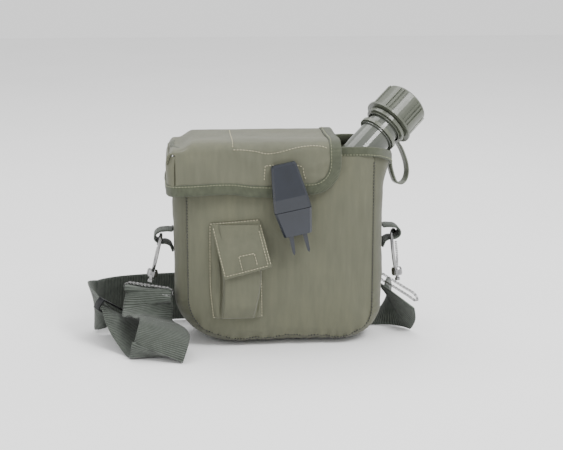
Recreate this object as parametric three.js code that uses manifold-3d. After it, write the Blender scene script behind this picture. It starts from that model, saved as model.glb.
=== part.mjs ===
// A two-quart canteen in its fabric cover, with a quick-release buckle, a tablet pocket,
// belt clips and a webbing shoulder strap. Units are millimetres, +Z is up, the front faces -Y,
// and the origin is the centre of the flat bottom that the cover stands on.
import * as THREE from 'three';
import { mergeVertices } from 'three/addons/utils/BufferGeometryUtils.js';
import Module from 'manifold-3d';

const wasm = await Module();
wasm.setup();

// ---------------------------------------------------------------- driving dimensions
const GAP = 0.4; // between pieces that touch
const SEAM = { left: -88, right: 90, bottom: 8, top: 186, y: 36 }; // the seams of the two big panels
const SIDE_BULGE = 13; // how far the gusset swells past the seams at the sides
const FABRIC = 1.6;
const PANEL_BULGE = 8; // how far a big panel swells at its middle
const MOUTH_TAPE = { height: 9, thickness: 4 };
const LINER = { inset: 4, y: 31.5, thickness: 2 };
const BLADDER = { inset: 9, y: 27, wall: 2 };
const NECK = {
  ring: new THREE.Vector3(100.5, 10, 200), // centre of the tether's ring on the neck
  axis: new THREE.Vector3(0.687, 0.384, 0.616).normalize(),
  radius: 16.8, bore: 13.4, root: -52, top: 38,
};
const THREAD = { pitch: 4.2, turns: 2.5, depth: 1.3, width: 1.7, start: 21.5 };
const CAP = {
  bottom: 9.2, flange: 16.4, flangeRadius: 25.8, grip: 18.4, top: 47.5, skirt: 19.4, radius: 22.6,
  bore: 18.5, ribs: 6, ribCluster: 3,
};
const TETHER = { ringRadius: 20.2, height: 3.4, bandWidth: 7, bandThickness: 1.7 };
const FLAP = { left: -107, right: 56, front: -50, back: 39, top: 203, bottom: 157.4, thickness: 2.4, corner: 24 };
const FLAP_TAPE = { width: 9.5, thickness: 3.2 };
const BUCKLE = { x: 10.5, z: 140, tilt: -11.5, back: -51.6, face: -61.5, thin: -57.4 };
const POCKET = { left: -67, right: -18, bottom: 27, top: 121, back: -45, front: -53, wall: 1.5 };
const WEBBING = { width: 50, thickness: 1.7 };
const CLIP = { x: 45, bottom: 118, top: 184, width: 22, steel: 1.6, inner: 46.4, outer: 57.8 };

// ---------------------------------------------------------------- materials
const plain = (color, roughness, metalness = 0) => new THREE.MeshStandardMaterial({ color, roughness, metalness });
const MATERIAL = {
  cloth: plain(0x6d6f5e, 0.8),
  liner: plain(0x5a5b4c, 0.95),
  tape: plain(0x53574a, 0.85),
  webbing: plain(0x4c534b, 0.85),
  bladder: plain(0x6f736c, 0.4),
  cap: plain(0x5f6458, 0.35),
  tether: plain(0x8c8f8a, 0.4),
  seal: plain(0x2b2b2b, 0.6),
  buckle: plain(0x2c313a, 0.3),
  steel: plain(0x77797a, 0.3, 0.9),
  blackSteel: plain(0x26282a, 0.4, 0.8),
};

// ---------------------------------------------------------------- geometry helpers
const v = (x, y, z) => new THREE.Vector3(x, y, z);
const deg = THREE.MathUtils.degToRad;

// Triangles that fill a flat ring of points, each turning the way the ring does.
function fill(ring) {
  const normal = v();
  ring.forEach((p, i) => normal.add(p.clone().sub(ring[0]).cross(ring[(i + 1) % ring.length].clone().sub(ring[0]))));
  normal.normalize();
  const across = (Math.abs(normal.z) < 0.9 ? v(0, 0, 1) : v(1, 0, 0)).cross(normal).normalize();
  const up = normal.clone().cross(across);
  const flat = ring.map((p) => new THREE.Vector2(p.dot(across), p.dot(up)));
  const faces = THREE.ShapeUtils.triangulateShape(flat.slice(), []);
  const area = faces.reduce((sum, face) => sum + THREE.ShapeUtils.area(face.map((i) => flat[i])), 0);
  return area > 0 ? faces : faces.map(([a, b, c]) => [a, c, b]);
}

// Closed body through a row of rings of points, with flat ends unless the row closes on itself.
// Mirrored rows split the two faces of a strip along the same diagonals, so a twist keeps them apart.
function loft(rings, closed = false, mirrored = false) {
  const count = rings[0].length;
  const points = rings.flat();
  const faces = [];
  const at = (ring, i) => (ring % rings.length) * count + (i % count);
  for (let r = 0; r < rings.length - (closed ? 0 : 1); r++) {
    for (let i = 0; i < count; i++) {
      const [a, b, c, d] = [at(r, i), at(r, i + 1), at(r + 1, i + 1), at(r + 1, i)];
      if (mirrored && i >= count / 2) faces.push([a, b, d], [b, c, d]);
      else faces.push([a, b, c], [a, c, d]);
    }
  }
  if (!closed) {
    const end = rings.length - 1;
    for (const [a, b, c] of fill(rings[0])) faces.push([a, c, b]);
    for (const [a, b, c] of fill(rings[end])) faces.push([at(end, a), at(end, b), at(end, c)]);
  }
  const geometry = new THREE.BufferGeometry().setFromPoints(points);
  geometry.setIndex(faces.flat());
  return outward(geometry);
}

// The geometry with its faces turned out, whichever way they were wound.
function outward(geometry) {
  const p = geometry.getAttribute('position');
  const index = geometry.getIndex().array;
  const [a, b, c] = [v(), v(), v()];
  let volume = 0;
  for (let i = 0; i < index.length; i += 3) {
    a.fromBufferAttribute(p, index[i]);
    b.fromBufferAttribute(p, index[i + 1]);
    c.fromBufferAttribute(p, index[i + 2]);
    volume += a.dot(b.cross(c));
  }
  if (volume < 0) {
    for (let i = 0; i < index.length; i += 3) [index[i + 1], index[i + 2]] = [index[i + 2], index[i + 1]];
  }
  return geometry;
}

// A strip that follows points, with a normal at each, of the given width and thickness.
function ribbon(points, normals, width, thickness, closed = false) {
  const last = points.length - 1;
  const frames = points.map((p, i) => {
    const before = points[closed ? (i + last) % points.length : Math.max(i - 1, 0)];
    const after = points[closed ? (i + 1) % points.length : Math.min(i + 1, last)];
    const along = after.clone().sub(before).normalize();
    const across = along.clone().cross(normals[i]).normalize();
    return [p, across, across.clone().cross(along).normalize()];
  });
  return band(frames, width, thickness, closed);
}

// A strip through [point, unit vector across, unit normal] frames.
function band(frames, width, thickness, closed = false) {
  const corners = [[1, 1], [1, -1], [-1, -1], [-1, 1]];
  return loft(frames.map(([p, across, normal]) => corners.map(([a, b]) =>
    p.clone().addScaledVector(across, (a * width) / 2).addScaledVector(normal, (b * thickness) / 2))), closed, true);
}

// A closed bag of an outline in XZ: profile rows are [share of the outline's size, y].
function slab(outline, centre, profile) {
  const rings = profile.map(([share, y]) =>
    outline.map((p) => v(centre.x + (p.x - centre.x) * share, y, centre.y + (p.y - centre.y) * share)));
  return loft(rings);
}

// Extrudes a flat outline of [x, z] points between two depths.
function plate(outline, yFront, yBack) {
  return loft([yFront, yBack].map((y) => outline.map(([x, z]) => v(x, y, z))));
}

function box(x0, x1, y0, y1, z0, z1) {
  return new THREE.BoxGeometry(x1 - x0, y1 - y0, z1 - z0).translate((x0 + x1) / 2, (y0 + y1) / 2, (z0 + z1) / 2);
}

// A solid of revolution about +Z from [radius, z] points.
function turned(profile, segments = 32) {
  const points = profile.map(([r, z]) => new THREE.Vector2(r, z));
  return new THREE.LatheGeometry(points, segments).rotateX(Math.PI / 2);
}

// A round wire along points.
function wire(points, radius, closed = false, sides = 7) {
  const curve = new THREE.CatmullRomCurve3(points, closed, 'centripetal');
  const steps = Math.min(points.length * 4, 28);
  const frames = curve.computeFrenetFrames(steps, closed);
  const rings = [];
  for (let i = 0; i <= steps - (closed ? 1 : 0); i++) {
    const centre = curve.getPointAt(i / steps);
    rings.push(Array.from({ length: sides }, (_, k) => {
      const turn = (k / sides) * 2 * Math.PI;
      return centre.clone().addScaledVector(frames.normals[i], radius * Math.cos(turn))
        .addScaledVector(frames.binormals[i], radius * Math.sin(turn));
    }));
  }
  return loft(rings, closed);
}

function solid(geometry) {
  const bare = geometry.clone();
  bare.deleteAttribute('normal');
  bare.deleteAttribute('uv');
  const merged = mergeVertices(outward(bare.index ? bare : mergeVertices(bare, 1e-4)), 1e-4);
  return new wasm.Manifold(new wasm.Mesh({
    numProp: 3,
    vertProperties: merged.getAttribute('position').array,
    triVerts: new Uint32Array(merged.getIndex().array),
  }));
}

function geometryOf(manifold) {
  const mesh = manifold.getMesh();
  const geometry = new THREE.BufferGeometry();
  geometry.setAttribute('position', new THREE.BufferAttribute(new Float32Array(mesh.vertProperties), 3));
  geometry.setIndex(new THREE.BufferAttribute(new Uint32Array(mesh.triVerts), 1));
  return geometry;
}

const join = (...pieces) => geometryOf(pieces.map(solid).reduce((a, b) => a.add(b)));
const cut = (piece, ...tools) => geometryOf(tools.map(solid).reduce((a, b) => a.subtract(b), solid(piece)));
const common = (a, b) => geometryOf(solid(a).intersect(solid(b)));

function piece(parent, name, geometry, material) {
  const mesh = new THREE.Mesh(geometry, material);
  mesh.name = name;
  parent.add(mesh);
  return mesh;
}

const canteen = new THREE.Group();

// ---------------------------------------------------------------- the cover's outlines
const CENTRE = new THREE.Vector2(0, 95);
const OUTLINE_STEPS = 5; // points to a rounded corner

// The front view's outline, moved in by an inset: a tall panel with a big cut lower left corner.
function coverOutline(inset, top = SEAM.top) {
  const corners = [
    { x: SEAM.left, z: SEAM.bottom, r: 42, from: 180 },
    { x: SEAM.right, z: SEAM.bottom, r: 28, from: 270 },
    { x: SEAM.right, z: top, r: 6, from: 0 },
    { x: SEAM.left, z: top, r: 6, from: 90 },
  ];
  const points = [];
  for (const { x, z, r, from } of corners) {
    const cx = x + (x < 0 ? r : -r);
    const cz = z + (z < CENTRE.y ? r : -r);
    for (let i = 0; i <= OUTLINE_STEPS; i++) {
      const angle = deg(from + (90 * i) / OUTLINE_STEPS);
      const radius = Math.max(r - inset, 0.5);
      points.push(new THREE.Vector2(cx + radius * Math.cos(angle), cz + radius * Math.sin(angle)));
    }
  }
  return points;
}

// ---------------------------------------------------------------- cover: front and back panels
function bigPanel(side) {
  const y = (depth) => side * depth;
  return slab(coverOutline(0), CENTRE, [
    [0.004, y(SEAM.y + PANEL_BULGE)], [0.45, y(SEAM.y + PANEL_BULGE - 0.6)], [0.75, y(SEAM.y + PANEL_BULGE - 2.2)],
    [0.93, y(SEAM.y + 2.6)], [0.995, y(SEAM.y)], [0.985, y(SEAM.y - FABRIC)], [0.92, y(SEAM.y + 1)],
    [0.74, y(SEAM.y + PANEL_BULGE - 3.8)], [0.44, y(SEAM.y + PANEL_BULGE - 2.3)], [0.003, y(SEAM.y + PANEL_BULGE - 1.8)],
  ]);
}
piece(canteen, 'front_panel', bigPanel(-1), MATERIAL.cloth);
piece(canteen, 'back_panel', bigPanel(1), MATERIAL.cloth);

// ---------------------------------------------------------------- cover: the gusset round the sides and bottom
// Section across the gusset: [y, share of the bulge], flat over the middle so that the cover stands.
const GUSSET_SECTION = [[-34, 0], [-31, 0.62], [-24, 0.94], [-14, 1], [14, 1], [24, 0.94], [31, 0.62], [34, 0]];
const GUSSET_TOP = 183.2;

// How far the mouth dips under the neck at the right, at a depth y.
const DIP = [[-34, 0], [-31, -2], [-24, -8], [-14, -12.5], [14, -16], [24, -13.5], [31, -9], [34, -5]];
const dipAt = (y) => DIP.find(([at]) => Math.abs(at - y) < 0.6)[1];

function gussetPath() {
  const path = [{ x: SEAM.left, z: GUSSET_TOP, nx: -1, nz: 0 }, { x: SEAM.left, z: 115, nx: -1, nz: 0 }];
  const corner = (cx, cz, r, from) => {
    for (let i = 0; i <= 7; i++) {
      const a = deg(from + (90 * i) / 7);
      path.push({ x: cx + r * Math.cos(a), z: cz + r * Math.sin(a), nx: Math.cos(a), nz: Math.sin(a) });
    }
  };
  corner(SEAM.left + 42, SEAM.bottom + 42, 42, 180);
  corner(SEAM.right - 28, SEAM.bottom + 28, 28, 270);
  path.push({ x: SEAM.right, z: 115, nx: 1, nz: 0 }, { x: SEAM.right, z: 150, nx: 1, nz: 0 });
  path.push({ x: SEAM.right + 4, z: GUSSET_TOP, nx: 1, nz: 0, mouth: true });
  return path;
}

function gussetShell() {
  const rings = gussetPath().map(({ x, z, nx, nz, mouth }) => {
    const bulge = THREE.MathUtils.lerp(SEAM.bottom, SIDE_BULGE, nx ** 2);
    const drop = (y) => (mouth ? dipAt(y) : 0);
    const outer = GUSSET_SECTION.map(([y, share]) => v(x + nx * bulge * share, y, z + nz * bulge * share + drop(y)));
    const inner = GUSSET_SECTION.map(([y, share]) =>
      v(x + nx * (bulge * share - FABRIC), y * 0.99, z + nz * (bulge * share - FABRIC) + drop(y))).reverse();
    return [...outer, ...inner];
  });
  return loft(rings);
}

// ---------------------------------------------------------------- cover: insulating liner
function linerSlab(extra) {
  const y = LINER.y - extra;
  const outline = coverOutline(LINER.inset + extra, SEAM.top - 4);
  return slab(outline, CENTRE, [
    [0.004, -y], [0.93, -y], [0.985, -y + 5], [1, -y + 11], [1, y - 11], [0.985, y - 5], [0.93, y], [0.004, y],
  ]);
}
piece(canteen, 'insulating_liner', cut(linerSlab(0), linerSlab(LINER.thickness),
  box(-130, 130, -29.5, 29.5, 160, 200), box(60, 130, -40, 40, 150, 200)), MATERIAL.liner);

// ---------------------------------------------------------------- cover: tape round the mouth
function mouthTape() {
  const z = SEAM.top + GAP + MOUTH_TAPE.height / 2;
  const curve = new THREE.CatmullRomCurve3([
    v(-84, -35, z), v(-30, -37.5, z), v(40, -37.5, z), v(90, -35.5, z - 1), v(104, -25, z - 6), v(109.5, -6, z - 13),
    v(108.5, 14, z - 15), v(103, 28, z - 9), v(88, 36.5, z - 1), v(40, 37.5, z), v(-30, 37.5, z), v(-84, 35, z),
    v(-97, 20, z), v(-100, 0, z), v(-97, -20, z),
  ], true, 'centripetal');
  const steps = 44;
  const points = Array.from({ length: steps }, (_, i) => curve.getPointAt(i / steps));
  const normals = points.map((p) => v(p.x / 3, p.y, 0).normalize());
  return ribbon(points, normals, MOUTH_TAPE.height, MOUTH_TAPE.thickness, true);
}
piece(canteen, 'mouth_binding', mouthTape(), MATERIAL.tape);

// ---------------------------------------------------------------- the canteen and its neck
const neckTurn = new THREE.Quaternion().setFromUnitVectors(v(0, 0, 1), NECK.axis);
function neckGroup() {
  const group = new THREE.Group();
  group.position.copy(NECK.ring);
  group.quaternion.copy(neckTurn);
  canteen.add(group);
  return group;
}
// Geometry made along the neck's own axis, moved into the part's frame.
const onNeck = (geometry) => geometry.applyQuaternion(neckTurn).translate(...NECK.ring.toArray());

function bladderSlab(extra) {
  const y = BLADDER.y - extra;
  const outline = coverOutline(BLADDER.inset + extra, SEAM.top - 6);
  return slab(outline, CENTRE, [
    [0.004, -y], [0.55, -y], [0.8, -y + 2], [0.93, -y + 8], [0.99, -y + 17], [0.99, y - 17],
    [0.93, y - 8], [0.8, y - 2], [0.55, y], [0.004, y],
  ]);
}

// A helical ridge round the neck's axis, of the given radius at its crest.
function helix(radius, from, turns, width, depth) {
  const perTurn = 20;
  const rings = [];
  for (let i = 0; i <= turns * perTurn; i++) {
    const turn = (i / perTurn) * 2 * Math.PI;
    const z = from + (i / perTurn) * THREAD.pitch;
    rings.push([[-0.6, -width / 2], [depth, -width / 4], [depth, width / 4], [-0.6, width / 2]].map(([r, dz]) =>
      v((radius + r) * Math.cos(turn), (radius + r) * Math.sin(turn), z + dz)));
  }
  return loft(rings);
}

function neckClearance() {
  const r = NECK.radius + GAP;
  return onNeck(turned([[0, NECK.root], [r, NECK.root], [r, -6], [0, -6]]));
}
piece(canteen, 'side_gusset', cut(gussetShell(), neckClearance()), MATERIAL.cloth);

function canteenBody() {
  const tube = onNeck(turned([[0, NECK.root], [NECK.radius, NECK.root], [NECK.radius, -3.2], [NECK.radius + 1.6, -3.2],
    [NECK.radius + 1.6, -1.9], [NECK.radius, -1.9], [NECK.radius, 16], [NECK.radius - 1, 18], [NECK.radius - 1, NECK.top],
    [0, NECK.top]]));
  const ridge = onNeck(helix(NECK.radius - 1, THREAD.start, THREAD.turns, THREAD.width, THREAD.depth));
  const outer = join(bladderSlab(0), tube, ridge);
  const bore = onNeck(turned([[0, NECK.root + 6], [NECK.bore, NECK.root + 6], [NECK.bore, NECK.top + 5],
    [0, NECK.top + 5]], 24));
  return cut(outer, bladderSlab(BLADDER.wall), bore);
}
piece(canteen, 'canteen_body', canteenBody(), MATERIAL.bladder);

// ---------------------------------------------------------------- the cap, its seal and its tether
function capBody() {
  const shell = turned([[CAP.bore - 0.2, CAP.bottom], [CAP.skirt, CAP.bottom], [CAP.skirt, CAP.bottom + 1],
    [CAP.skirt - 0.6, CAP.bottom + 1.4], [CAP.skirt - 0.6, CAP.flange - 0.6], [CAP.flangeRadius, CAP.flange],
    [CAP.flangeRadius, CAP.grip], [CAP.radius + 0.4, CAP.grip + 0.3], [CAP.radius, CAP.top - 2], [CAP.radius - 2.4, CAP.top],
    [0, CAP.top], [0, CAP.top - 2.6], [CAP.bore - 0.9, CAP.top - 2.6], [CAP.bore - 0.9, 19], [CAP.bore - 0.2, 17],
    [CAP.bore - 0.2, CAP.bottom]], 48);
  const ribs = [];
  for (let i = 0; i < CAP.ribs; i++) {
    for (let k = 0; k < CAP.ribCluster; k++) {
      const turn = (i / CAP.ribs) * 2 * Math.PI + (k - (CAP.ribCluster - 1) / 2) * 0.17;
      ribs.push(box(CAP.radius - 1, CAP.radius + 1.4, -1, 1, CAP.grip + 0.2, CAP.top - 3).rotateZ(turn));
    }
  }
  // The cap's own ridge lies half a pitch above the neck's.
  const inner = helixInside(CAP.bore - 0.9, THREAD.start + THREAD.pitch / 2, 1.4);
  return join(shell, inner, ...ribs);
}
function helixInside(radius, from, turns) {
  const rings = [];
  for (let i = 0; i <= turns * 20; i++) {
    const turn = (i / 20) * 2 * Math.PI;
    const z = from + (i / 20) * THREAD.pitch;
    rings.push([[0.5, -0.8], [-0.9, -0.4], [-0.9, 0.4], [0.5, 0.8]].map(([r, dz]) =>
      v((radius + r) * Math.cos(turn), (radius + r) * Math.sin(turn), z + dz)));
  }
  return loft(rings);
}
const neck = neckGroup();
piece(neck, 'screw_cap', capBody(), MATERIAL.cap);
piece(neck, 'cap_seal', turned([[0, NECK.top + GAP], [17.1, NECK.top + GAP], [17.1, CAP.top - 2.6 - GAP],
  [0, CAP.top - 2.6 - GAP]], 32), MATERIAL.seal);

const tetherRing = (inner, outer, from, height) =>
  turned([[inner, from], [outer, from], [outer, from + height], [inner, from + height], [inner, from]], 32);
piece(neck, 'tether_neck_ring', tetherRing(NECK.radius + GAP, TETHER.ringRadius, -1.9 + GAP, TETHER.height), MATERIAL.tether);
piece(neck, 'tether_cap_ring', tetherRing(CAP.skirt - 0.6 + GAP, TETHER.ringRadius + 1.6, CAP.bottom + 1.8, TETHER.height),
  MATERIAL.tether);

// The band leaves both rings on the side that faces down and to the right, and hangs in a loop.
function tetherBand() {
  const sag = v(0, 0, -1).applyQuaternion(neckTurn.clone().invert());
  const side = v(sag.x, sag.y, 0).normalize();
  const [low, high] = [-1.5 + TETHER.height / 2, CAP.bottom + 1.8 + TETHER.height / 2];
  const rows = [[TETHER.ringRadius + GAP, low], [24.5, low - 1], [30, low - 4.4], [38, low - 8.6], [47, -11.5], [54, -12.5],
    [59.5, -9.5], [61, -3.5], [57.5, 3], [50, 8], [40, 11.2], [30, high + 0.2], [TETHER.ringRadius + 1.6 + GAP, high]];
  const curve = new THREE.CatmullRomCurve3(rows.map(([r, z]) => v(side.x * r, side.y * r, z)), false, 'centripetal');
  const steps = 34;
  const points = Array.from({ length: steps + 1 }, (_, i) => curve.getPointAt(i / steps));
  const across = v(0, 0, 1).cross(side).normalize();
  const normals = points.map((p, i) => {
    const along = curve.getTangentAt(i / steps);
    return along.clone().cross(across).normalize();
  });
  return ribbon(points, normals, TETHER.bandWidth, TETHER.bandThickness);
}
piece(neck, 'tether_band', tetherBand(), MATERIAL.tether);

// ---------------------------------------------------------------- the flap
// Seen from the left, the flap is an L with a rounded front corner; it is extruded across.
function flapPanel() {
  const { front, back, top, bottom, thickness: t, right } = FLAP;
  const bend = 9;
  const section = (inset) => {
    const rows = [[back, top - inset - 1], [10, top - inset + 0.6], [-20, top - inset + 0.4]];
    for (let i = 0; i <= 4; i++) {
      const a = deg(90 + (90 * i) / 4);
      rows.push([front + bend + (bend - inset) * Math.cos(a), top - bend + (bend - inset) * Math.sin(a)]);
    }
    rows.push([front + inset, bottom]);
    return rows;
  };
  const profile = [...section(0), ...section(t).reverse()];
  const left = FLAP.left + t + GAP;
  const body = loft([left, right].map((x) => profile.map(([y, z]) => v(x, y, z))));
  const keep = [];
  for (let i = 0; i <= 6; i++) {
    const a = deg(270 + (90 * i) / 6);
    keep.push([right - FLAP.corner + FLAP.corner * Math.cos(a), bottom + FLAP.corner + FLAP.corner * Math.sin(a)]);
  }
  const mask = plate([[left - 5, bottom - 5], [right - FLAP.corner, bottom - 0.01], ...keep.slice(1), [right + 5, top + 5],
    [left - 5, top + 5]], front - 5, back + 5);
  return common(body, mask);
}
piece(canteen, 'flap_panel', flapPanel(), MATERIAL.cloth);

// The left side of the flap, like the end of a box lid.
function flapSide() {
  const { front, back, top, bottom, thickness: t, left } = FLAP;
  const side = [[front + 3, bottom], [back - 3, bottom], [back - 3, top - 5], [back - 8, top - 1.5], [front + 12, top - 1.5],
    [front + 5, top - 4], [front + 3, top - 10]];
  return loft([left, left + t].map((x) => side.map(([y, z]) => v(x, y, z))));
}
piece(canteen, 'flap_side_panel', flapSide(), MATERIAL.cloth);

// Tape along the flap's lower edge, round its corner, and up and over its right edge.
function flapTape() {
  const { front, back, top, bottom, left, right, corner } = FLAP;
  const low = bottom - GAP - FLAP_TAPE.width / 2;
  const rows = [
    [v(left + 1.2, back - 4, low), v(-1, 0, 0)],
    [v(left + 1.2, -20, low), v(-1, 0, 0)],
    [v(left + 1.2, front + 7, low), v(-1, 0, 0)],
    [v(left + 3.2, front + 2.6, low), v(-1, -1, 0)],
    [v(left + 8, front + 1.2, low), v(0, -1, 0)],
    [v(-50, front + 1.2, low), v(0, -1, 0)],
    [v(0, front + 1.2, low), v(0, -1, 0)],
  ];
  const radius = corner + GAP + FLAP_TAPE.width / 2;
  for (let i = 0; i <= 8; i++) {
    const a = deg(270 + (90 * i) / 8);
    rows.push([v(right - corner + radius * Math.cos(a), front + 1.2, bottom + corner + radius * Math.sin(a)), v(0, -1, 0)]);
  }
  const edge = right + GAP + FLAP_TAPE.width / 2;
  for (let i = 0; i <= 4; i++) {
    const a = deg(180 - (90 * i) / 4);
    rows.push([v(edge, front + 9 + 7.8 * Math.cos(a), top - 9 + 7.8 * Math.sin(a)), v(0, Math.cos(a), Math.sin(a))]);
  }
  rows.push([v(edge, 0, top - 0.8), v(0, 0, 1)], [v(edge, back - 1, top - 2), v(0, 0, 1)]);
  return ribbon(rows.map((r) => r[0]), rows.map((r) => r[1]), FLAP_TAPE.width, FLAP_TAPE.thickness);
}
piece(canteen, 'flap_binding', flapTape(), MATERIAL.tape);

// ---------------------------------------------------------------- the quick-release buckle
const buckle = new THREE.Group();
buckle.position.set(BUCKLE.x, 0, BUCKLE.z);
buckle.rotation.y = deg(BUCKLE.tilt);
canteen.add(buckle);

const SHIELD = { top: 44, half: 12, wide: 17.6 };
const CATCH = { top: -0.5, bottom: -24.5, half: 13.2, bore: { half: 12.2, front: -58.8, back: -53.2 } };

function shieldBody() {
  const ring = (z, half, face) => [[-half, BUCKLE.back], [half, BUCKLE.back], [half, face + 2], [half - 2, face], [2 - half, face],
    [-half, face + 2]].map(([x, y]) => v(x, y, z));
  return loft([ring(0, SHIELD.wide, BUCKLE.face), ring(12, SHIELD.wide - 1.2, BUCKLE.face + 0.2), ring(SHIELD.top - 2, SHIELD.half, BUCKLE.thin),
    ring(SHIELD.top, SHIELD.half - 1.5, BUCKLE.thin + 1.5)]);
}
// The two legs' roots sit in sockets in the shield's lower edge.
const socket = (side) => box(side * 7 - 3.6, side * 7 + 3.6, -58.4, -53.6, -1, 7);
piece(buckle, 'buckle_shield', cut(shieldBody(), socket(-1), socket(1)), MATERIAL.buckle);

function catchBody() {
  const ring = (z, half, front, back) => [[-half, back], [half, back], [half, front + 2], [half - 2, front], [2 - half, front],
    [-half, front + 2]].map(([x, y]) => v(x, y, z));
  const { half, front, back } = CATCH.bore;
  const body = loft([ring(CATCH.bottom, CATCH.half, BUCKLE.face + 1, -50.5), ring(CATCH.bottom + 4, CATCH.half + 0.8, BUCKLE.face + 0.4, -50),
    ring(CATCH.top, SHIELD.wide, BUCKLE.face, -50)]);
  const chamber = box(-half + 0.7, half - 0.7, front, back, CATCH.bottom + 4, CATCH.top - 5);
  const mouth = box(-10, 10, front, back, CATCH.top - 6, CATCH.top + 2);
  const exit = box(-10, 10, front, back, CATCH.bottom - 2, CATCH.bottom + 5);
  return cut(body, chamber, mouth, exit);
}
piece(buckle, 'buckle_catch', catchBody(), MATERIAL.buckle);

// A spring leg: root, stem, barb that hooks under the catch's mouth, and the tip that is pinched.
function leg(side) {
  const outline = [[-2.9, 6.5], [2.9, 6.5], [2.9, 0], [2.4, -6.3], [3.9, -7.3], [3.4, -12], [1.9, -17], [1.6, -28], [1.3, -41], [0.2, -43.5],
    [-1.2, -41], [-2.6, -26], [-2.6, -10], [-2.9, 0]];
  return plate(outline.map(([x, z]) => [side * (7 + x), z]), -57.8, -54.2);
}
piece(buckle, 'buckle_leg_left', leg(-1), MATERIAL.buckle);
piece(buckle, 'buckle_leg_right', leg(1), MATERIAL.buckle);
piece(buckle, 'catch_webbing', box(-9, 9, -49.6, -47.6, CATCH.bottom - 3, CATCH.top - 2), MATERIAL.webbing);
piece(buckle, 'shield_webbing', box(-10, 10, -51.3, -50.4, 27, SHIELD.top - 1), MATERIAL.webbing);

// ---------------------------------------------------------------- the tablet pocket
function pocketBody() {
  const { left, right, bottom, top, back, front, wall } = POCKET;
  const pouch = loft([[left, right, bottom, back], [left + 1, right - 1, bottom + 1, back - 3], [left + 9, right - 5, bottom + 5, front]]
    .map(([x0, x1, z0, y]) => [v(x0, y, z0), v(x1, y, z0), v(x1, y, top), v(x0, y, top)]));
  const hollow = loft([[left + 2, right - 2, bottom + 2, back - wall + 0.5], [left + 10, right - 6.5, bottom + 7, front + wall]]
    .map(([x0, x1, z0, y]) => [v(x0, y, z0), v(x1, y, z0), v(x1, y, top + 3), v(x0, y, top + 3)]));
  return cut(pouch, hollow);
}
piece(canteen, 'pocket_body', pocketBody(), MATERIAL.cloth);
const POCKET_FLAP = [[-65.5, 127], [-21.5, 130], [-9.5, 85], [-52, 73]];
const PATCH = [[-40, 81.5], [-23, 87.5], [-28, 100.5], [-44.5, 94.5]];
piece(canteen, 'pocket_flap', plate(POCKET_FLAP, -57.2, -55.6), MATERIAL.cloth);
piece(canteen, 'pocket_hook_patch', plate(PATCH, -55.2, -54.5), MATERIAL.webbing);
piece(canteen, 'pocket_loop_patch', plate(PATCH, -54.1, -53.4), MATERIAL.webbing);

// ---------------------------------------------------------------- side loops and snap hooks
const LOOP = { thickness: 1.8, width: 14, reach: 113.3, z: 105.3, left: 0, right: 2.4 };

// A strip sewn to the gusset that stands out as a loop, with its hole running front to back.
function sideLoop(shift, side) {
  const rows = [[102.2, 119], [102.3, 114], [105, 111.4], [110, 111], [115.5, 110.4], [119.4, 106.6], [119, 101.4], [114.5, 98.6],
    [108.5, 98.2], [104, 96], [102.3, 92], [102.2, 84]];
  const at = ([x, z]) => v(side * (x + shift), 0, z);
  const frames = rows.map((row, i) => {
    const along = at(rows[Math.min(i + 1, rows.length - 1)]).sub(at(rows[Math.max(i - 1, 0)])).normalize();
    return [at(row), v(0, 1, 0), v(along.z, 0, -along.x)];
  });
  return band(frames, LOOP.width, LOOP.thickness);
}

// Where the strap's wire bails hang, and the way each one's width points.
const SIDES = {
  left: { side: -1, turn: 0, bail: v(-125.5, -12, 57), across: v(0.87, -0.49, -0.02).normalize() },
  right: { side: 1, turn: -18, bail: v(121, -6, 51.5), across: v(0.55, -0.79, -0.23).normalize() },
};
const HOOK = { wire: 1.7, half: 11.4, foot: 8.7 };

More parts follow.
